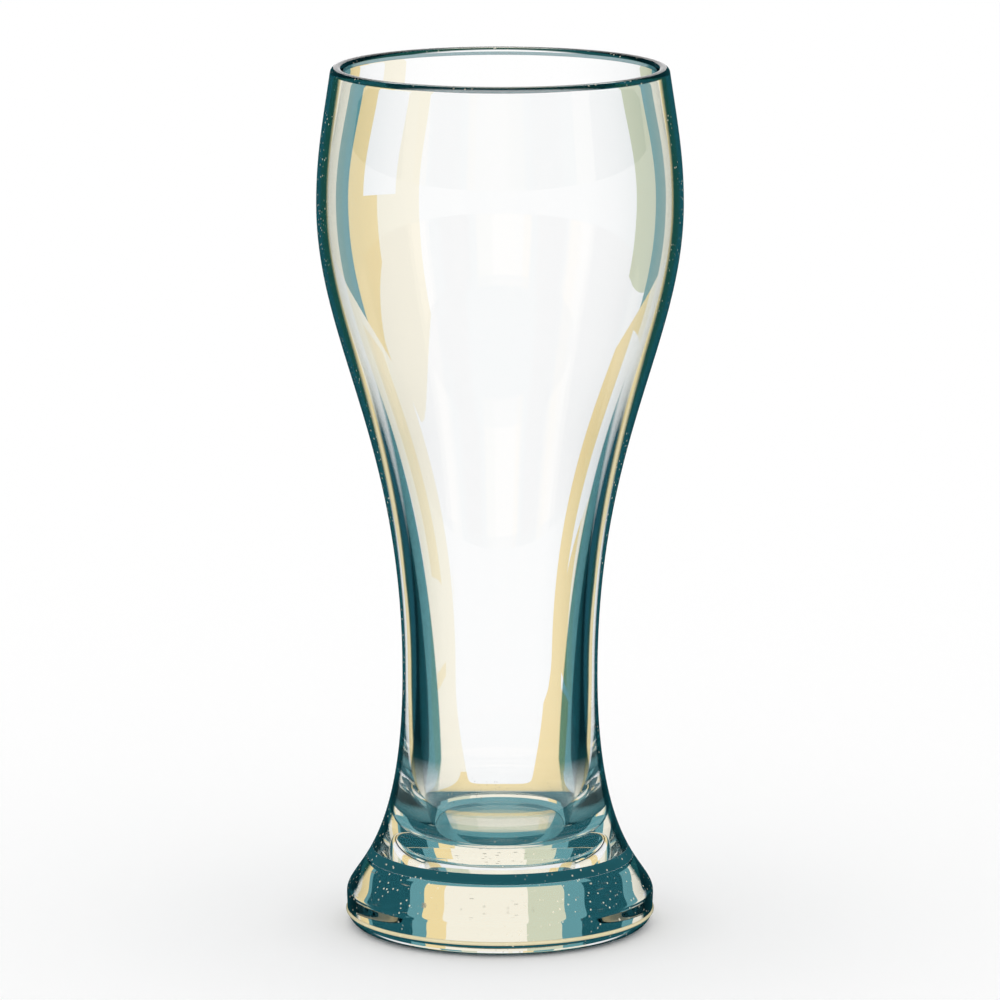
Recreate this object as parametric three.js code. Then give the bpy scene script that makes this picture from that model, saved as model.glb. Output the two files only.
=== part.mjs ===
// Wheat beer glass: a blown bowl, a thin solid collar and a pressed foot, fused one on the other.
// Millimetres, +Z up. The origin is on the axis, in the plane that the glass stands on.

import * as THREE from 'three';

// Heights, stacked from the table upwards.
const FOOT_HEIGHT = 17.3;
const COLLAR_HEIGHT = 2.5;
const BOTTOM_WALL = 2.5;
const FOOT_EDGE_HEIGHT = 7.9;
const FLARE_LENGTH = 57.1;
const BODY_LENGTH = 120.0;
const SHOULDER_LENGTH = 35.0;

// Outside radii.
const FOOT_RADIUS = 39.2;
const WAIST_RADIUS = 24.85;
const BELLY_RADIUS = 46.25;
const RIM_RADIUS = 42.7;

// Walls of the bowl, and the flat of its floor.
const LIP_WALL = 3.4;
const BELLY_WALL = 3.0;
const WAIST_WALL = 4.2;
const FLOOR_RADIUS = 17.5;

// Heel of the foot: a bevel that starts a little inside the foot's edge, with a fine bead on top of it.
const BEVEL_HEIGHT = 2.9;
const BEVEL_WIDTH = 3.2;
const BEVEL_INSET = 0.12;
const BEAD_HEIGHT = 1.0;
const BEAD_BULGE = 0.35;

// How far the lip and the top of the bevel lean inwards.
const RIM_LEAN = THREE.MathUtils.degToRad(8.4);
const BEVEL_LEAN = THREE.MathUtils.degToRad(20);

// How long each curve keeps its direction at an end, as a share of the stretch that it spans.
const RIM_HOLD = 0.37;
const SHOULDER_HOLD = 0.36;
const BELLY_HOLD = 0.29;
const WAIST_HOLD = 0.505;
const STEM_HOLD = 0.83;
const FOOT_EDGE_HOLD = 0.11;
const SIDE_HOLD = 0.4;
const BEVEL_HOLD = 0.5;
const CAVITY_HOLD = 0.8;
const FLOOR_HOLD = 0.85;

// Facets round the axis and along each curve.
const SEGMENTS = 48;
const LIP_STEPS = 6;
const SHOULDER_STEPS = 7;
const BODY_STEPS = 14;
const STEM_STEPS = 8;
const COLLAR_STEPS = 2;
const FOOT_STEPS = 6;
const SIDE_STEPS = 2;
const BEAD_STEPS = 6;
const BEVEL_STEPS = 5;
const CAVITY_STEPS = 10;

// Halvings that find where a curve crosses a level, and how near two points count as one.
const HALVINGS = 40;
const SAME_POINT = 1e-6;

// Clear glass, a little more teal in the thicker pieces.
const GLASS_ROUGHNESS = 0.04;
const GLASS_OPACITY = 0.35;
const BOWL_COLOUR = 0xe4f2f1;
const COLLAR_COLOUR = 0x9fc6c8;
const FOOT_COLOUR = 0xb9d6d7;

// Levels and radii that follow from the sizes above.
const collarTop = FOOT_HEIGHT + COLLAR_HEIGHT;
const floorLevel = collarTop + BOTTOM_WALL;
const waistLevel = FOOT_EDGE_HEIGHT + FLARE_LENGTH;
const bellyLevel = waistLevel + BODY_LENGTH;
const rimLevel = bellyLevel + SHOULDER_LENGTH;
const standingRadius = FOOT_RADIUS - BEVEL_WIDTH;
const beadLevel = BEVEL_HEIGHT + BEAD_HEIGHT / 2;

const point = (radius, level) => new THREE.Vector2(radius, level);
const onAxis = (level) => point(0, level);

// Curve between two ends, each leaving along its own handle.
function bend(start, startHandle, end, endHandle) {
  const startControl = start.clone().add(startHandle);
  const endControl = end.clone().add(endHandle);
  return new THREE.CubicBezierCurve(start, startControl, endControl, end);
}

// Points of a curve between two of its parameters, ends included.
function stretch(curve, from, to, steps) {
  return Array.from({ length: steps + 1 }, (_, i) => curve.getPoint(from + ((to - from) * i) / steps));
}

// Parameter at which a curve that rises all the way reaches a level.
function parameterAtLevel(curve, level) {
  let below = 0;
  let above = 1;
  for (let halving = 0; halving < HALVINGS; halving += 1) {
    const middle = (below + above) / 2;
    if (curve.getPoint(middle).y < level) {
      below = middle;
    } else {
      above = middle;
    }
  }
  return (below + above) / 2;
}

// Runs of points joined end to end, each shared end kept once.
function outline(...runs) {
  const joined = runs.flat();
  return joined.filter((p, i) => i === 0 || p.distanceTo(joined[i - 1]) > SAME_POINT);
}

// Solid of revolution round +Z from a half section that starts and ends on the axis.
function turned(name, halfSection, material) {
  const geometry = new THREE.LatheGeometry(halfSection, SEGMENTS);
  geometry.rotateX(Math.PI / 2);
  const mesh = new THREE.Mesh(geometry, material);
  mesh.name = name;
  return mesh;
}

function glass(color) {
  return new THREE.MeshStandardMaterial({
    color,
    roughness: GLASS_ROUGHNESS,
    metalness: 0,
    transparent: true,
    opacity: GLASS_OPACITY,
  });
}

// Rounded lip: half a circle whose flat sides lean with the wall.
const lipRadius = LIP_WALL / 2;
const lipCentre = point(RIM_RADIUS - lipRadius, rimLevel - lipRadius);
const lipArc = new THREE.EllipseCurve(
  lipCentre.x, lipCentre.y, lipRadius, lipRadius, RIM_LEAN, RIM_LEAN + Math.PI, false,
);
const lipOuter = lipArc.getPoint(0);
const lipInner = lipArc.getPoint(1);

// Handles shared by the outside and the inside of the wall.
const rimReach = RIM_HOLD * SHOULDER_LENGTH;
const rimHandle = point(rimReach * Math.sin(RIM_LEAN), -rimReach * Math.cos(RIM_LEAN));
const shoulderHandle = point(0, SHOULDER_HOLD * SHOULDER_LENGTH);
const bellyHandle = point(0, -BELLY_HOLD * BODY_LENGTH);
const waistHandle = point(0, WAIST_HOLD * BODY_LENGTH);

// Outside of the glass, from the heel up to the lip.
const standingEdge = point(standingRadius, 0);
const bevelTop = point(FOOT_RADIUS - BEVEL_INSET, BEVEL_HEIGHT);
const beadTop = point(bevelTop.x, BEVEL_HEIGHT + BEAD_HEIGHT);
const footEdge = point(FOOT_RADIUS, FOOT_EDGE_HEIGHT);
const waist = point(WAIST_RADIUS, waistLevel);
const belly = point(BELLY_RADIUS, bellyLevel);
const bevelDrop = BEVEL_HOLD * BEVEL_HEIGHT;
const bevelCurve = bend(
  standingEdge, point(BEVEL_HOLD * (bevelTop.x - standingRadius), 0),
  bevelTop, point(-bevelDrop * Math.tan(BEVEL_LEAN), -bevelDrop),
);
const beadCurve = new THREE.EllipseCurve(
  bevelTop.x, beadLevel, BEAD_BULGE, BEAD_HEIGHT / 2, -Math.PI / 2, Math.PI / 2, false,
);
const sideReach = SIDE_HOLD * (FOOT_EDGE_HEIGHT - beadTop.y);
const sideCurve = bend(beadTop, point(0, sideReach), footEdge, point(0, -sideReach));
const flareCurve = bend(
  footEdge, point(0, FOOT_EDGE_HOLD * FLARE_LENGTH), waist, point(0, -STEM_HOLD * FLARE_LENGTH),
);
const bodyCurve = bend(waist, waistHandle, belly, bellyHandle);
const shoulderCurve = bend(belly, shoulderHandle, lipOuter, rimHandle);

// Inside of the bowl, from the lip down to the flat of the floor.
const innerBelly = point(BELLY_RADIUS - BELLY_WALL, bellyLevel);
const innerWaist = point(WAIST_RADIUS - WAIST_WALL, waistLevel);
const floorEdge = point(FLOOR_RADIUS, floorLevel);
const innerShoulderCurve = bend(lipInner, rimHandle, innerBelly, shoulderHandle);
const innerBodyCurve = bend(innerBelly, bellyHandle, innerWaist, waistHandle);
const cavityCurve = bend(
  innerWaist, point(0, -CAVITY_HOLD * (waistLevel - floorLevel)),
  floorEdge, point(FLOOR_HOLD * (innerWaist.x - FLOOR_RADIUS), 0),
);

// The two fused seams cut the flare at the top of the foot and at the top of the collar.
const footSeam = parameterAtLevel(flareCurve, FOOT_HEIGHT);
const collarSeam = parameterAtLevel(flareCurve, collarTop);

const bowl = turned('bowl', outline(
  [onAxis(collarTop)],
  stretch(flareCurve, collarSeam, 1, STEM_STEPS),
  bodyCurve.getPoints(BODY_STEPS),
  shoulderCurve.getPoints(SHOULDER_STEPS),
  lipArc.getPoints(LIP_STEPS),
  innerShoulderCurve.getPoints(SHOULDER_STEPS),
  innerBodyCurve.getPoints(BODY_STEPS),
  cavityCurve.getPoints(CAVITY_STEPS),
  [onAxis(floorLevel)],
), glass(BOWL_COLOUR));

const collar = turned('collar', outline(
  [onAxis(FOOT_HEIGHT)],
  stretch(flareCurve, footSeam, collarSeam, COLLAR_STEPS),
  [onAxis(collarTop)],
), glass(COLLAR_COLOUR));

const foot = turned('foot', outline(
  [onAxis(0)],
  bevelCurve.getPoints(BEVEL_STEPS),
  beadCurve.getPoints(BEAD_STEPS),
  sideCurve.getPoints(SIDE_STEPS),
  stretch(flareCurve, 0, footSeam, FOOT_STEPS),
  [onAxis(FOOT_HEIGHT)],
), glass(FOOT_COLOUR));

const wheatBeerGlass = new THREE.Group();
wheatBeerGlass.add(bowl, collar, foot);

export default wheatBeerGlass;
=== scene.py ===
"""Wheat beer glass: clear blown bowl, fused collar and pressed foot, with teal edges."""

import math
from collections import namedtuple

import bpy
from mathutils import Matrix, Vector


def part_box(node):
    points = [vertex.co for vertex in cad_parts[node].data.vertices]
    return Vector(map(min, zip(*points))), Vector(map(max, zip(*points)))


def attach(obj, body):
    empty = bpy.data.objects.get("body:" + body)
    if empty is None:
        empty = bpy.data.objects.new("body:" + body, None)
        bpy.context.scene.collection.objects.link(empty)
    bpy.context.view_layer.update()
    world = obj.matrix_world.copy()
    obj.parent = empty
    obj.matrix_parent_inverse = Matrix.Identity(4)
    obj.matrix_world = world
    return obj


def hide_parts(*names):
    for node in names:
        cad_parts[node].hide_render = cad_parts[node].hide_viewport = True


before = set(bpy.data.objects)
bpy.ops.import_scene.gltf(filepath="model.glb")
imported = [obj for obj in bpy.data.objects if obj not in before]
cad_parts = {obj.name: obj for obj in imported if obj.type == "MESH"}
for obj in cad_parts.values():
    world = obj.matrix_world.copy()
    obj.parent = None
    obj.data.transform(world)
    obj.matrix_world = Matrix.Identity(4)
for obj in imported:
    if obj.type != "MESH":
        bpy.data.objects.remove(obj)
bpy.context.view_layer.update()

# Sizes of the glass in millimetres, as the solids have them.
MM = 0.001
FOOT_EDGE_HEIGHT = 7.9
FLARE_LENGTH = 57.1
BODY_LENGTH = 120.0
SHOULDER_LENGTH = 35.0
FOOT_RADIUS = 39.2
WAIST_RADIUS = 24.85
RIM_RADIUS = 42.7
LIP_WALL = 3.4
BELLY_WALL = 3.0
WAIST_WALL = 4.2
BOTTOM_WALL = 2.5
FLOOR_RADIUS = 17.5
BEVEL_HEIGHT = 2.9
BEVEL_WIDTH = 3.2
BEVEL_INSET = 0.12
BEAD_HEIGHT = 1.0
BEAD_BULGE = 0.35
RIM_LEAN = math.radians(8.4)
BEVEL_LEAN = math.radians(20)

# How long each curve keeps its direction at an end, as a share of the stretch that it spans.
RIM_HOLD = 0.37
SHOULDER_HOLD = 0.36
BELLY_HOLD = 0.29
WAIST_HOLD = 0.505
STEM_HOLD = 0.83
FOOT_EDGE_HOLD = 0.11
SIDE_HOLD = 0.4
BEVEL_HOLD = 0.5
CAVITY_HOLD = 0.8
FLOOR_HOLD = 0.85

# Detail of the turned pieces, and the hair of air that the fused seams keep.
SEGMENTS = 256
CURVE_STEPS = 48
ARC_STEPS = 24
COLLAR_STEPS = 12
HALVINGS = 40
SEAM_GAP = 0.02
SHARP_ANGLE = math.radians(40)
SAME_POINT = 1e-5

# Colours that the glass shares with the cards.
CLEAR = (1, 1, 1, 1)
TEAL = (0.13, 0.33, 0.36, 1)
DARK_TEAL = (0.012, 0.085, 0.105, 1)

# Glass: its index, the teal of its grazing edges, partly the tint of thick glass and partly painted shade
# that also darkens their mirror, and the painted shade that darkens the mirror in its base. Here and below
# a face seen head on counts as 0 and a grazing one as 1, and a range says where a tint or a mirror sets
# in.
GLASS_IOR = 1.5
EDGE_TINT_AND_SHADE = (0.012, 0.09, 0.11, 1)
EDGE_RANGE = (0.63, 0.68)
LIP_EDGE_RANGE = (0.10, 0.20)
BASE_MIRROR_SHADE = (0.04, 0.17, 0.2, 1)
MIRROR_RANGE = (0.12, 0.36)

# Tint of the collar's glass, and the matt colours painted over the glass with the share of the surface
# that each takes: painted shade on the collar and in the line at the lip, and a painted highlight on the
# bead.
COLLAR_TEAL = (0.05, 0.2, 0.23, 1)
COLLAR_PAINTED_SHADE = (0.02, 0.12, 0.145, 1)
COLLAR_SHADE_SHARE = 0.7
BEAD_PAINTED_HIGHLIGHT = (0.92, 0.8, 0.5, 1)
BEAD_HIGHLIGHT_SHARE = 0.85
LIP_LINE_PAINTED_SHADE = (0.1, 0.27, 0.3, 1)
LIP_LINE_SHARE = 0.75

# Share of the bevel that is the dark line under the bead, painted shade in the crease.
SHADE_LINE_SHARE = 0.15

# Stretches of the lip, from its outside (0) to its inside (1): the polished top, and the line of painted
# shade at its end.
LIP_TOP = (0.3, 0.62)
LIP_LINE_FROM = 0.84

# How much later the edge tint sets in on the stem, and the heights in metres over which the outside passes
# from base to stem and from stem to bowl.
STEM_EDGE_DELAY = 0.09
BASE_TO_STEM = (0.030, 0.065)
STEM_TO_BOWL = (0.09, 0.15)

# Teal bands of the stem by the slant of the face, and where they end towards the edge: painted shade that
# stands in for the dark bands seen through the stem, partly the tint of thick glass. They set in over the
# first range of heights, in metres, and come later and later over the second, up to the delay.
STEM_TINT_AND_SHADE = ((0.185, CLEAR), (0.195, TEAL), (0.285, TEAL), (0.295, DARK_TEAL))
STEM_TINT_END = (0.485, 0.515)
STEM_TINT_FROM = (0.036, 0.046)
STEM_TINT_RISE = (0.047, 0.147)
STEM_TINT_DELAY = 0.33

# Painted shade in the mirror of the inside wall where light in the glass glances off it: the teal that
# darkens it, the heights in metres over which that shade sets in and ends, and how much earlier it passes
# in the bowl.
GLANCE_TEAL = (0.012, 0.08, 0.13, 1)
GLANCE_SHADE = ((0.12, CLEAR), (0.2, GLANCE_TEAL), (0.308, GLANCE_TEAL), (0.32, CLEAR))
GLANCE_FROM = (0.036, 0.05)
GLANCE_UP_TO = (0.13, 0.15)
GLANCE_LEAD = 0.07

# Corner at the foot of the stem, whose outside is a clear mirror for light in the glass: the heights in
# metres over which it sets in and ends, and the share of light that it scatters where it mirrors it all.
CORNER_FROM = (0.018, 0.026)
CORNER_UP_TO = (0.05, 0.065)
CORNER_SCATTER = 0.15
CORNER_COLOUR = (0.45, 0.58, 0.56, 1)
TOTAL_MIRROR = (0.25, 0.27)

# Specks in the surface: how close they lie, how large they are, where they gather, how strong they show,
# and the heights in metres over which they end.
SPECK_COLOUR = (0.95, 0.88, 0.7, 1)
SPECK_DENSITY = 650.0
SPECK_SIZE = (0.12, 0.19)
SPECK_PATCHES = 55.0
SPECK_GATHER = (0.46, 0.6)
SPECK_STRENGTH = 0.8
SPECK_UP_TO = (0.022, 0.03)

# Further colours of the cards around the glass, which only refracted rays see.
NO_CARD = (0, 0, 0, 0)
WHITE = (1, 1, 1, 1)
CREAM = (0.92, 0.745, 0.386, 1)
STRAW = (0.95, 0.84, 0.58, 1)
PALE_CREAM = (0.973, 0.922, 0.776, 1)
SAGE = (0.665, 0.694, 0.521, 1)

# Where each card starts, in degrees clockwise from straight behind the glass.
UNDER_CARDS = ((-180, PALE_CREAM),)
LOWERED_CARDS = ((-180, WHITE), (-13, PALE_CREAM), (-5, CREAM), (13, WHITE))
WAIST_CARDS = ((-180, WHITE), (-15, PALE_CREAM), (0, CREAM), (14, WHITE))
LEFT_GAP_CARDS = ((-180, NO_CARD), (-13.5, PALE_CREAM), (-10.7, STRAW), (-8, NO_CARD))
RIGHT_GAP_CARDS = ((-180, NO_CARD), (6.8, CREAM), (9.3, WHITE), (14, NO_CARD))
RIGHT_STEM_CARDS = ((-180, NO_CARD), (8.5, CREAM), (12.5, PALE_CREAM), (16, NO_CARD))
RIGHT_WHITE_CARDS = ((-180, NO_CARD), (2, WHITE), (7.5, NO_CARD))
PALE_CARDS = ((-180, NO_CARD), (-12.5, PALE_CREAM), (-5, NO_CARD))
LEVEL_CARDS = ((-180, WHITE), (-14.5, PALE_CREAM), (-2.2, WHITE), (5.6, SAGE), (10, WHITE))
BAND_CARDS = (
    (-180, NO_CARD), (-26, PALE_CREAM), (-14.4, TEAL), (-8.8, CREAM), (-6.7, NO_CARD), (9.4, TEAL),
    (15.7, PALE_CREAM), (26, NO_CARD),
)
CREAM_CARDS = ((-180, NO_CARD), (-6.7, CREAM), (-4.7, NO_CARD))
WINDOW_CARDS = ((-180, NO_CARD), (-6.2, WHITE), (-3.2, NO_CARD))
GLANCE_CARDS = (
    (-180, WHITE), (-60, PALE_CREAM), (-36, CREAM), (-20, WHITE), (20, CREAM), (36, PALE_CREAM),
    (60, WHITE),
)
RAISED_CARDS = (
    (-90, DARK_TEAL), (-66, PALE_CREAM), (-52, TEAL), (-43, DARK_TEAL), (-24, TEAL), (-17, SAGE),
    (-7, PALE_CREAM), (14, CREAM), (20, TEAL), (25, DARK_TEAL), (46, TEAL), (49, CREAM), (58, PALE_CREAM),
    (66, DARK_TEAL),
)
HIGH_CARDS = ((-90, DARK_TEAL), (-28, TEAL), (28, DARK_TEAL))
CRESCENT_CARDS = ((-180, NO_CARD), (-30, TEAL), (-20, CREAM), (20, TEAL), (30, NO_CARD))

# Rings of the floor: half the width of their middle in degrees, and the height in degrees that each
# starts at, with the colour of its middle.
FLOOR_MIDDLE = 11
FLOOR_RINGS = (
    (-54, DARK_TEAL), (-31, TEAL), (-28, SAGE), (-25.5, PALE_CREAM), (-22.6, SAGE), (-21.8, CREAM),
    (-20.6, TEAL),
)


def all_round(cards):
    """Cards of the half circle behind the glass, with the same ones in front of it."""
    half = len([degrees for degrees, _ in cards if degrees < 0])
    front_left = [(degrees - 180, colour) for degrees, colour in cards[half:]]
    front_right = [(degrees + 180, colour) for degrees, colour in cards[:half]]
    return ((-180, cards[half - 1][1]), *front_left, *cards, *front_right)


def floor_cards(middle):
    """Cards that show as a ring of the floor, teal at its sides."""
    return ((-180, TEAL), (-FLOOR_MIDDLE, middle), (FLOOR_MIDDLE, TEAL))


# A tier of cards: the height in degrees that it starts at straight behind the glass, its cards, how much
# its lower edge rises from left to right, whether its cards draw together upwards, and which light sees
# it: all, what has glanced off a wall, or what has come through the deep base.
Tier = namedtuple("Tier", "start cards rise drawn light", defaults=(0.0, False, "all"))

# The tiers below and above the white card behind the stem, each in front of those before it.
LOW_TIERS = (Tier(-90, UNDER_CARDS), Tier(-54, LOWERED_CARDS), Tier(-30, WAIST_CARDS))
UPPER_TIERS = (
    Tier(-10.28, LEFT_GAP_CARDS, rise=0.327),
    Tier(-10.28, RIGHT_GAP_CARDS, rise=-0.327),
    Tier(-8.95, RIGHT_STEM_CARDS, rise=-0.353),
    Tier(-24.19, RIGHT_WHITE_CARDS, rise=1.7),
    Tier(-11.23, PALE_CARDS, rise=0.124),
    Tier(-11.93, LEVEL_CARDS, drawn=True),
    Tier(-11.93, BAND_CARDS),
    Tier(-4.75, CREAM_CARDS, rise=1.08),
    Tier(-7.7, WINDOW_CARDS),
    Tier(-2.2, all_round(RAISED_CARDS)),
    Tier(-54, GLANCE_CARDS, light="glanced"),
    *(Tier(start, floor_cards(middle), light="deep") for start, middle in FLOOR_RINGS),
    Tier(-15, CRESCENT_CARDS, light="deep"),
    Tier(3.0, all_round(RAISED_CARDS)),
    Tier(19.5, all_round(HIGH_CARDS)),
)

# Counts between whole numbers: of any bounce at all, and of the faces that light from the deep base meets.
ANY_BOUNCE = 0.5
DEEP_FACES = 4.5

# Heights between which cards draw together, and how far apart they stand at the lower one.
DRAW_FROM = math.radians(-11.95)
DRAW_TO = math.radians(-10.1)
DRAW_SHARE = 0.43

# White card straight behind the stem: the lowest height of its rounded lower end, and how fast that rises.
WHITE_END = math.radians(-38.5)
WHITE_END_RISE = 6000.0

# Floor and camera, in metres.
FLOOR_SIZE = 8.0
FLOOR_DROP = 0.0004
CAMERA_PLACE = Vector((0, -1.760, 0.4388))
CAMERA_AIM = Vector((0, 0, 0.1094))
SENSOR = 36.0
FOCAL_SHARE = 7.063

# How many faces light meets at most on its way, and how many of them as mirrors.
MAX_BOUNCES = 32
GLOSSY_BOUNCES = 16

# Levels and radii that the parts in model.glb give.
_, foot_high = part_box("foot")
_, collar_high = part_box("collar")
_, bowl_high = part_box("bowl")
BELLY_RADIUS = bowl_high.x / MM
FOOT_TOP = foot_high.z / MM
COLLAR_TOP = collar_high.z / MM
FLOOR_LEVEL = COLLAR_TOP + BOTTOM_WALL
WAIST_LEVEL = FOOT_EDGE_HEIGHT + FLARE_LENGTH
BELLY_LEVEL = WAIST_LEVEL + BODY_LENGTH
RIM_LEVEL = BELLY_LEVEL + SHOULDER_LENGTH
STANDING_RADIUS = FOOT_RADIUS - BEVEL_WIDTH
HEEL_RADIUS = FOOT_RADIUS - BEVEL_INSET
BEAD_TOP = BEVEL_HEIGHT + BEAD_HEIGHT


def bend(start, start_handle, end, end_handle):
    """Curve between two ends, each leaving along its own handle, as a function of 0 to 1."""
    a = Vector(start)
    b = Vector(start) + Vector(start_handle)
    c = Vector(end) + Vector(end_handle)
    d = Vector(end)

    def at(t):
        s = 1 - t
        return a * s**3 + b * 3 * s * s * t + c * 3 * s * t * t + d * t**3

    return at


def stretch(curve, start=0.0, end=1.0, steps=CURVE_STEPS):
    """Points of a curve between two of its parameters, ends included."""
    return [curve(start + (end - start) * i / steps) for i in range(steps + 1)]


def parameter_at_level(curve, level):
    """Parameter at which a curve that rises all the way reaches a level."""
    below, above = 0.0, 1.0
    for _ in range(HALVINGS):
        middle = (below + above) / 2
        if curve(middle).y < level:
            below = middle
        else:
            above = middle
    return (below + above) / 2


def arc(centre, across, along, start, steps=ARC_STEPS):
    """Points of half an ellipse, given its two half lengths."""
    angles = [start + math.pi * i / steps for i in range(steps + 1)]
    return [Vector(centre) + Vector((across * math.cos(a), along * math.sin(a))) for a in angles]


def outline(*runs):
    """Runs of points joined end to end, each shared end kept once."""
    joined = []
    for run in runs:
        for p in run:
            if not joined or (Vector(p) - joined[-1]).length > SAME_POINT:
                joined.append(Vector(p))
    return joined


def turned(name, half_section):
    """Closed mesh of revolution round +Z from a half section that starts and ends on the axis."""
    vertices = []
    rings = []
    for radius, level in half_section:
        sides = SEGMENTS if radius > SAME_POINT else 1
        rings.append(range(len(vertices), len(vertices) + sides))
        for i in range(sides):
            angle = 2 * math.pi * i / SEGMENTS
            vertices.append(Vector((radius * math.cos(angle), radius * math.sin(angle), level)) * MM)
    faces = []
    for low, high in zip(rings, rings[1:]):
        for i in range(SEGMENTS):
            j = (i + 1) % SEGMENTS
            if len(low) == 1:
                faces.append((low[0], high[j], high[i]))
            elif len(high) == 1:
                faces.append((low[i], low[j], high[0]))
            else:
                faces.append((low[i], low[j], high[j], high[i]))
    mesh = bpy.data.meshes.new(name)
    mesh.from_pydata(vertices, [], faces)
    mesh.shade_smooth()
    mesh.set_sharp_from_angle(angle=SHARP_ANGLE)
    piece = bpy.data.objects.new(name, mesh)
    bpy.context.scene.collection.objects.link(piece)
    return piece


# Curves of the outside, from the heel up to the lip.
lip_radius = LIP_WALL / 2
lip_centre = (RIM_RADIUS - lip_radius, RIM_LEVEL - lip_radius)
lip = arc(lip_centre, lip_radius, lip_radius, RIM_LEAN)
rim_reach = RIM_HOLD * SHOULDER_LENGTH
rim_handle = (rim_reach * math.sin(RIM_LEAN), -rim_reach * math.cos(RIM_LEAN))
shoulder_handle = (0, SHOULDER_HOLD * SHOULDER_LENGTH)
belly_handle = (0, -BELLY_HOLD * BODY_LENGTH)
waist_handle = (0, WAIST_HOLD * BODY_LENGTH)
foot_edge = (FOOT_RADIUS, FOOT_EDGE_HEIGHT)
waist = (WAIST_RADIUS, WAIST_LEVEL)
belly = (BELLY_RADIUS, BELLY_LEVEL)
bevel_drop = BEVEL_HOLD * BEVEL_HEIGHT
bevel_curve = bend((STANDING_RADIUS, 0), (BEVEL_HOLD * (HEEL_RADIUS - STANDING_RADIUS), 0),
                   (HEEL_RADIUS, BEVEL_HEIGHT), (-bevel_drop * math.tan(BEVEL_LEAN), -bevel_drop))
bead = arc((HEEL_RADIUS, BEVEL_HEIGHT + BEAD_HEIGHT / 2), BEAD_BULGE, BEAD_HEIGHT / 2, -math.pi / 2)
side_reach = SIDE_HOLD * (FOOT_EDGE_HEIGHT - BEAD_TOP)
side_curve = bend((HEEL_RADIUS, BEAD_TOP), (0, side_reach), foot_edge, (0, -side_reach))
flare_curve = bend(foot_edge, (0, FOOT_EDGE_HOLD * FLARE_LENGTH), waist, (0, -STEM_HOLD * FLARE_LENGTH))
body_curve = bend(waist, waist_handle, belly, belly_handle)
shoulder_curve = bend(belly, shoulder_handle, lip[0], rim_handle)

# Curves of the inside, from the lip down to the floor.
inner_belly = (BELLY_RADIUS - BELLY_WALL, BELLY_LEVEL)
inner_waist = (WAIST_RADIUS - WAIST_WALL, WAIST_LEVEL)
inner_shoulder_curve = bend(lip[-1], rim_handle, inner_belly, shoulder_handle)
inner_body_curve = bend(inner_belly, belly_handle, inner_waist, waist_handle)
cavity_curve = bend(inner_waist, (0, -CAVITY_HOLD * (WAIST_LEVEL - FLOOR_LEVEL)),
                    (FLOOR_RADIUS, FLOOR_LEVEL), (FLOOR_HOLD * (inner_waist[0] - FLOOR_RADIUS), 0))

# Levels on both sides of the two fused seams, and where the flare crosses them.
foot_face = FOOT_TOP - SEAM_GAP / 2
collar_lower_face = FOOT_TOP + SEAM_GAP / 2
collar_upper_face = COLLAR_TOP - SEAM_GAP / 2
bowl_face = COLLAR_TOP + SEAM_GAP / 2
foot_cut = parameter_at_level(flare_curve, foot_face)
collar_lower_cut = parameter_at_level(flare_curve, collar_lower_face)
collar_upper_cut = parameter_at_level(flare_curve, collar_upper_face)
bowl_cut = parameter_at_level(flare_curve, bowl_face)

bowl_outside = outline([(0, bowl_face)], stretch(flare_curve, bowl_cut), stretch(body_curve),
                       stretch(shoulder_curve), lip)
bowl_inside = outline(lip[-1:], stretch(inner_shoulder_curve), stretch(inner_body_curve),
                      stretch(cavity_curve), [(0, FLOOR_LEVEL)])
bowl = turned("glass_bowl", outline(bowl_outside, bowl_inside))
collar = turned("glass_collar", outline(
    [(0, collar_lower_face)],
    stretch(flare_curve, collar_lower_cut, collar_upper_cut, COLLAR_STEPS),
    [(0, collar_upper_face)],
))
foot_outside = outline(stretch(bevel_curve), bead, stretch(side_curve),
                       stretch(flare_curve, 0.0, foot_cut))
foot = turned("glass_foot", outline([(0, 0)], foot_outside, [(0, foot_face)]))

for piece, node, slot in ((bowl, "bowl", "bowl_glass"), (collar, "collar", "collar_glass"),
                          (foot, "foot", "foot_glass")):
    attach(piece, "root")
    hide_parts(node)


def feed(tree, socket, value):
    """Gives an input a plain value or another output."""
    if isinstance(value, bpy.types.NodeSocket):
        tree.links.new(value, socket)
    else:
        socket.default_value = value


def ramp_node(tree, place, stops, interpolation):
    """Colour ramp along a place from 0 to 1, with the given stops: each a place and a colour."""
    node = tree.nodes.new("ShaderNodeValToRGB")
    node.color_ramp.interpolation = interpolation
    elements = node.color_ramp.elements
    while len(elements) < len(stops):
        elements.new(1.0)
    for element, (start, colour) in zip(elements, stops):
        element.position = start
        element.color = colour
    tree.links.new(place, node.inputs["Fac"])
    return node


def math_node(tree, operation, *values):
    """Output of a Math node whose inputs are numbers or other outputs."""
    node = tree.nodes.new("ShaderNodeMath")
    node.operation = operation
    for socket, value in zip(node.inputs, values):
        feed(tree, socket, value)
    return node.outputs[0]


def map_range(tree, value, low, high, at_low, at_high):
    """Output that passes from one number to another while a value passes from low to high."""
    node = tree.nodes.new("ShaderNodeMapRange")
    tree.links.new(value, node.inputs["Value"])
    for name, number in (("From Min", low), ("From Max", high), ("To Min", at_low), ("To Max", at_high)):
        node.inputs[name].default_value = number
    return node.outputs["Result"]


def between(tree, value, start, end):
    """Share that grows to 1 over the range start of a value and goes back to 0 over the range end."""
    return math_node(tree, "MINIMUM", map_range(tree, value, *start, 0.0, 1.0),
                     map_range(tree, value, *end, 1.0, 0.0))


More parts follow.
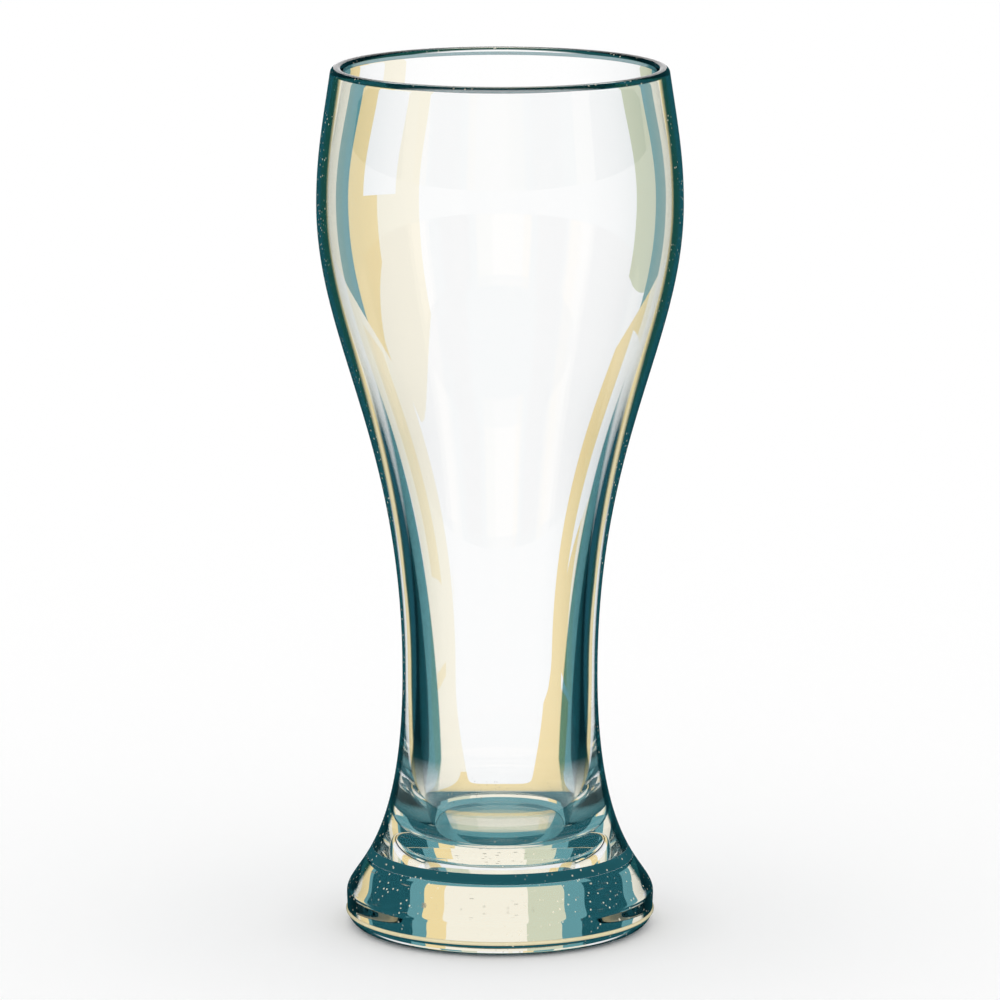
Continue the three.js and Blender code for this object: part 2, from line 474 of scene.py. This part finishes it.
def mix_colours(tree, share, first, second):
    """Output of a colour mix: first where the share is 0, second where it is 1."""
    node = tree.nodes.new("ShaderNodeMix")
    node.data_type = "RGBA"
    colours = [socket for socket in node.inputs if socket.type == "RGBA"]
    tree.links.new(share, node.inputs["Factor"])
    for socket, value in zip(colours, (first, second)):
        feed(tree, socket, value)
    return next(socket for socket in node.outputs if socket.type == "RGBA")


def mix_shaders(tree, share, first, second):
    """Output of a shader mix: first where the share is 0, second where it is 1."""
    node = tree.nodes.new("ShaderNodeMixShader")
    for socket, value in zip(node.inputs, (share, first, second)):
        feed(tree, socket, value)
    return node.outputs[0]


def object_place(tree):
    """Place on the object, from the centre of its underside."""
    return tree.nodes.new("ShaderNodeTexCoord").outputs["Object"]


def object_height(tree):
    """Height above the table."""
    parts = tree.nodes.new("ShaderNodeSeparateXYZ")
    tree.links.new(object_place(tree), parts.inputs["Vector"])
    return parts.outputs["Z"]


def slant_of_face(tree):
    """How far a face slants to the light that meets it, from head on (0) to grazing (1)."""
    return tree.nodes.new("ShaderNodeLayerWeight").outputs["Facing"]


def met_in_glass(tree):
    """1 where light meets a face from within the glass, otherwise 0."""
    return tree.nodes.new("ShaderNodeNewGeometry").outputs["Backfacing"]


def speck_share(tree):
    """Share of a surface that its fine specks cover, in patches."""
    place = object_place(tree)
    cells = tree.nodes.new("ShaderNodeTexVoronoi")
    cells.inputs["Scale"].default_value = SPECK_DENSITY
    patches = tree.nodes.new("ShaderNodeTexNoise")
    patches.inputs["Scale"].default_value = SPECK_PATCHES
    for texture in (cells, patches):
        tree.links.new(place, texture.inputs["Vector"])
    dots = map_range(tree, cells.outputs["Distance"], *SPECK_SIZE, SPECK_STRENGTH, 0.0)
    gathered = map_range(tree, patches.outputs[0], *SPECK_GATHER, 0.0, 1.0)
    return math_node(tree, "MULTIPLY", dots, gathered)


def new_material(name):
    """Material without nodes."""
    material = bpy.data.materials.new(name)
    material.use_nodes = True
    material.node_tree.nodes.clear()
    return material


def bsdf(tree, kind, colour):
    """Output of a shader of a kind and colour, polished and of the glass's index where it has them."""
    node = tree.nodes.new("ShaderNodeBsdf" + kind)
    feed(tree, node.inputs["Color"], colour)
    for name, number in (("Roughness", 0.0), ("IOR", GLASS_IOR)):
        if name in node.inputs:
            node.inputs[name].default_value = number
    return node.outputs["BSDF"]


def polished(tree, passing, mirror):
    """Output of a polished face: a shader for what passes it, and the colour of its mirror."""
    fresnel = tree.nodes.new("ShaderNodeFresnel")
    fresnel.inputs["IOR"].default_value = GLASS_IOR
    return mix_shaders(tree, fresnel.outputs["Fac"], passing, bsdf(tree, "Glossy", mirror))


def show(material, shader):
    """Makes a shader the surface of a material."""
    tree = material.node_tree
    tree.links.new(shader, tree.nodes.new("ShaderNodeOutputMaterial").inputs["Surface"])
    return material


def plain_glass(name):
    """Clear glass without tint or marks, for the seams, the underside and the top of the lip."""
    material = new_material(name)
    return show(material, bsdf(material.node_tree, "Glass", CLEAR))


def inside_glass(name):
    """Glass of the inside wall, with a mirror darkened to teal by painted shade where light slants onto it
    from either side.
    """
    material = new_material(name)
    tree = material.node_tree
    height = object_height(tree)
    slant = slant_of_face(tree)
    # Painted shade: seen from the hollow, the mirror darkens to teal where the face slants.
    in_hollow = mix_colours(tree, map_range(tree, slant, *MIRROR_RANGE, 0.0, 1.0), CLEAR, BASE_MIRROR_SHADE)
    lead = map_range(tree, height, *STEM_TO_BOWL, 0.0, GLANCE_LEAD)
    # Painted shade: in a band of slant the glancing mirror darkens to teal.
    glance = ramp_node(tree, math_node(tree, "ADD", slant, lead), GLANCE_SHADE, "LINEAR")
    on_stem = between(tree, height, GLANCE_FROM, GLANCE_UP_TO)
    in_glass = mix_colours(tree, on_stem, CLEAR, glance.outputs["Color"])
    mirror = mix_colours(tree, met_in_glass(tree), in_hollow, in_glass)
    return show(material, polished(tree, bsdf(tree, "Refraction", CLEAR), mirror))


def stem_tint_and_shade(tree, body, slant, height, in_glass):
    """Colour of what passes the outside from the air: the body's, and teal bands up the stem, partly tint
    and partly painted shade.
    """
    delay = map_range(tree, height, *STEM_TINT_RISE, 0.0, STEM_TINT_DELAY)
    tint = ramp_node(tree, math_node(tree, "SUBTRACT", slant, delay), STEM_TINT_AND_SHADE, "LINEAR")
    share = math_node(tree, "MULTIPLY", map_range(tree, slant, *STEM_TINT_END, 1.0, 0.0),
                      map_range(tree, height, *STEM_TINT_FROM, 0.0, 1.0))
    share = math_node(tree, "MULTIPLY", share, math_node(tree, "SUBTRACT", 1.0, in_glass))
    return mix_colours(tree, share, body, tint.outputs["Color"])


def outside_glass(name, body=CLEAR, painted_light=None, painted_light_share=0.0, edge_range=EDGE_RANGE):
    """Glass of an outside: teal at its grazing edges, partly tint and partly painted shade, a mirror
    darkened teal by painted shade in its base and where it slants, and fine specks there.
    """
    material = new_material(name)
    tree = material.node_tree
    height = object_height(tree)
    slant = slant_of_face(tree)
    in_glass = met_in_glass(tree)
    low = map_range(tree, height, *BASE_TO_STEM, 1.0, 0.0)
    on_stem = math_node(tree, "SUBTRACT", map_range(tree, height, *STEM_TO_BOWL, 1.0, 0.0), low)
    delayed = math_node(tree, "MULTIPLY_ADD", on_stem, -STEM_EDGE_DELAY, slant)
    edge = map_range(tree, delayed, *edge_range, 0.0, 1.0)
    passed = mix_colours(tree, edge, stem_tint_and_shade(tree, body, slant, height, in_glass), EDGE_TINT_AND_SHADE)
    passing = bsdf(tree, "Refraction", passed)
    # Matt colour mixed over the glass: painted shade on the collar, the heel line and the lip line, and a
    # painted highlight on the bead.
    if painted_light:
        passing = mix_shaders(tree, painted_light_share, passing, bsdf(tree, "Diffuse", painted_light))
    corner = math_node(tree, "MULTIPLY", between(tree, height, CORNER_FROM, CORNER_UP_TO), in_glass)
    # Painted shade: the mirror darkens to teal in the base and where the face slants, except at the
    # corner.
    mirror_shade_share = math_node(tree, "MAXIMUM", low, map_range(tree, slant, *MIRROR_RANGE, 0.0, 1.0))
    mirror_shade = math_node(tree, "MULTIPLY", math_node(tree, "SUBTRACT", 1.0, corner), mirror_shade_share)
    mirror = mix_colours(tree, mirror_shade, CLEAR, BASE_MIRROR_SHADE)
    # Painted shade: at the grazing edges the mirror darkens to the edge teal.
    shader = polished(tree, passing, mix_colours(tree, edge, mirror, EDGE_TINT_AND_SHADE))
    scattered = map_range(tree, slant, *TOTAL_MIRROR, 0.0, CORNER_SCATTER)
    scattered = math_node(tree, "MULTIPLY", corner, scattered)
    shader = mix_shaders(tree, scattered, shader, bsdf(tree, "Diffuse", CORNER_COLOUR))
    speckled = math_node(tree, "MAXIMUM", map_range(tree, height, *SPECK_UP_TO, 1.0, 0.0), edge)
    marked = math_node(tree, "MULTIPLY", speck_share(tree), speckled)
    return show(material, mix_shaders(tree, marked, shader, bsdf(tree, "Diffuse", SPECK_COLOUR)))


def cover(piece, material, first, last):
    """Gives the rings of a turned piece from first up to last a material of their own."""
    piece.data.materials.append(material)
    for polygon in piece.data.polygons[first * SEGMENTS:last * SEGMENTS]:
        polygon.material_index = len(piece.data.materials) - 1


# Every piece is plain glass; its outside, lip, bead and inside are covered with their own.
plain = plain_glass("plain_glass")
for piece in (bowl, collar, foot):
    piece.data.materials.append(plain)
clear_outside = outside_glass("clear_outside")
# The collar's outside: teal glass under painted shade, also used for the dark line under the bead.
dark_outside = outside_glass("collar_outside", COLLAR_TEAL, COLLAR_PAINTED_SHADE, COLLAR_SHADE_SHARE)

# Rings of the bowl and the foot at which one surface passes into the next; the flat bottom is ring 0.
lip_end = len(bowl_outside) - 1
lip_start = lip_end - ARC_STEPS
lip_top = [lip_start + round(share * ARC_STEPS) for share in LIP_TOP]
lip_line = lip_start + round(LIP_LINE_FROM * ARC_STEPS)
inside_end = lip_end + len(bowl_inside) - 1
bevel_end = 1 + CURVE_STEPS
bead_end = bevel_end + ARC_STEPS
shade_line_start = bevel_end - round(SHADE_LINE_SHARE * CURVE_STEPS)

cover(bowl, clear_outside, 1, lip_start)
# On the lip the edge teal sets in at a small slant, so that painted shade darkens most of the lip.
cover(bowl, outside_glass("lip", edge_range=LIP_EDGE_RANGE), lip_start, lip_end)
cover(bowl, plain, *lip_top)
# Painted shade: a teal line along the inner end of the lip.
cover(bowl, outside_glass("lip_line", CLEAR, LIP_LINE_PAINTED_SHADE, LIP_LINE_SHARE), lip_line, lip_end)
cover(bowl, inside_glass("inside_glass"), lip_end, inside_end)
cover(collar, dark_outside, 1, COLLAR_STEPS + 1)
cover(foot, clear_outside, 1, len(foot_outside))
# Painted shade: a dark line in the crease under the bead.
cover(foot, dark_outside, shade_line_start, bevel_end)
# Painted highlight: a cream line round the bead.
cover(foot, outside_glass("bead", CLEAR, BEAD_PAINTED_HIGHLIGHT, BEAD_HIGHLIGHT_SHARE), bevel_end, bead_end)


def card_place(degrees):
    """Place from 0 to 1 of a card's start, with the cards straight behind spread out."""
    return 0.5 + math.copysign(0.5 * math.sqrt(abs(degrees) / 180), degrees)


def spread_place(tree, turn):
    """Place from 0 to 1 of a direction, by the same rule."""
    half_turns = math_node(tree, "DIVIDE", math_node(tree, "ABSOLUTE", turn), math.pi)
    spread = math_node(tree, "SQRT", half_turns)
    to_side = math_node(tree, "MULTIPLY", spread, math_node(tree, "SIGN", turn))
    return math_node(tree, "MULTIPLY_ADD", to_side, 0.5, 0.5)


def card_tiers(tree, seen, tiers, turn, height, path):
    """Colour seen once the tiers of cards stand in front of what was seen before."""
    drawing = map_range(tree, height, math.sin(DRAW_FROM), math.sin(DRAW_TO), DRAW_SHARE, 1.0)
    places = {False: spread_place(tree, turn),
              True: spread_place(tree, math_node(tree, "MULTIPLY", turn, drawing))}
    seen_by = {"glanced": math_node(tree, "GREATER_THAN", path["Glossy Depth"], ANY_BOUNCE),
               "deep": math_node(tree, "GREATER_THAN", path["Transmission Depth"], DEEP_FACES)}
    for tier in tiers:
        stops = [(card_place(degrees), colour) for degrees, colour in tier.cards]
        ramp = ramp_node(tree, places[tier.drawn], stops, "CONSTANT")
        level = math_node(tree, "MULTIPLY_ADD", turn, -tier.rise, height)
        reached = math_node(tree, "GREATER_THAN", level, math.sin(math.radians(tier.start)))
        share = math_node(tree, "MULTIPLY", reached, ramp.outputs["Alpha"])
        if tier.light in seen_by:
            share = math_node(tree, "MULTIPLY", share, seen_by[tier.light])
        seen = mix_colours(tree, share, seen, ramp.outputs["Color"])
    return seen


def studio_world():
    """White all round, apart from the coloured cards that refracted rays from the camera see."""
    world = bpy.data.worlds.new("studio")
    world.use_nodes = True
    tree = world.node_tree
    path = tree.nodes.new("ShaderNodeLightPath").outputs
    coordinates = tree.nodes.new("ShaderNodeTexCoord")
    direction = tree.nodes.new("ShaderNodeSeparateXYZ")
    tree.links.new(coordinates.outputs["Generated"], direction.inputs["Vector"])
    turn = math_node(tree, "ARCTAN2", direction.outputs["X"], direction.outputs["Y"])
    height = direction.outputs["Z"]
    seen = card_tiers(tree, WHITE, LOW_TIERS, turn, height, path)
    turn_squared = math_node(tree, "MULTIPLY", turn, turn)
    turn_fourth = math_node(tree, "MULTIPLY", turn_squared, turn_squared)
    end = math_node(tree, "MULTIPLY_ADD", turn_fourth, WHITE_END_RISE, math.sin(WHITE_END))
    seen = mix_colours(tree, math_node(tree, "GREATER_THAN", height, end), seen, WHITE)
    seen = card_tiers(tree, seen, UPPER_TIERS, turn, height, path)
    from_camera = math_node(tree, "LESS_THAN", path["Diffuse Depth"], ANY_BOUNCE)
    refracted = math_node(tree, "MULTIPLY", path["Is Transmission Ray"], from_camera)
    colour = mix_colours(tree, refracted, WHITE, seen)
    tree.links.new(colour, tree.nodes["Background"].inputs["Color"])
    return world


def studio_floor():
    """Plain white floor, which refracted rays pass."""
    bpy.ops.mesh.primitive_plane_add(size=FLOOR_SIZE, location=(0, 0, -FLOOR_DROP))
    floor = bpy.context.object
    floor.name = "floor"
    floor.visible_transmission = False
    paper = bpy.data.materials.new("floor_paper")
    paper.use_nodes = True
    shader = paper.node_tree.nodes["Principled BSDF"]
    shader.inputs["Base Color"].default_value = WHITE
    shader.inputs["Specular IOR Level"].default_value = 0.0
    shader.inputs["Roughness"].default_value = 1.0
    floor.data.materials.append(paper)


def studio_camera():
    """Camera at the photograph's angle."""
    data = bpy.data.cameras.new("camera")
    data.sensor_width = SENSOR
    data.lens = SENSOR * FOCAL_SHARE
    camera = bpy.data.objects.new("camera", data)
    camera.location = CAMERA_PLACE
    camera.rotation_euler = (CAMERA_AIM - CAMERA_PLACE).to_track_quat("-Z", "Y").to_euler()
    bpy.context.scene.collection.objects.link(camera)
    return camera


scene = bpy.context.scene
scene.world = studio_world()
studio_floor()
scene.camera = studio_camera()
scene.view_settings.view_transform = "Standard"
scene.cycles.max_bounces = MAX_BOUNCES
scene.cycles.transmission_bounces = MAX_BOUNCES
scene.cycles.glossy_bounces = GLOSSY_BOUNCES
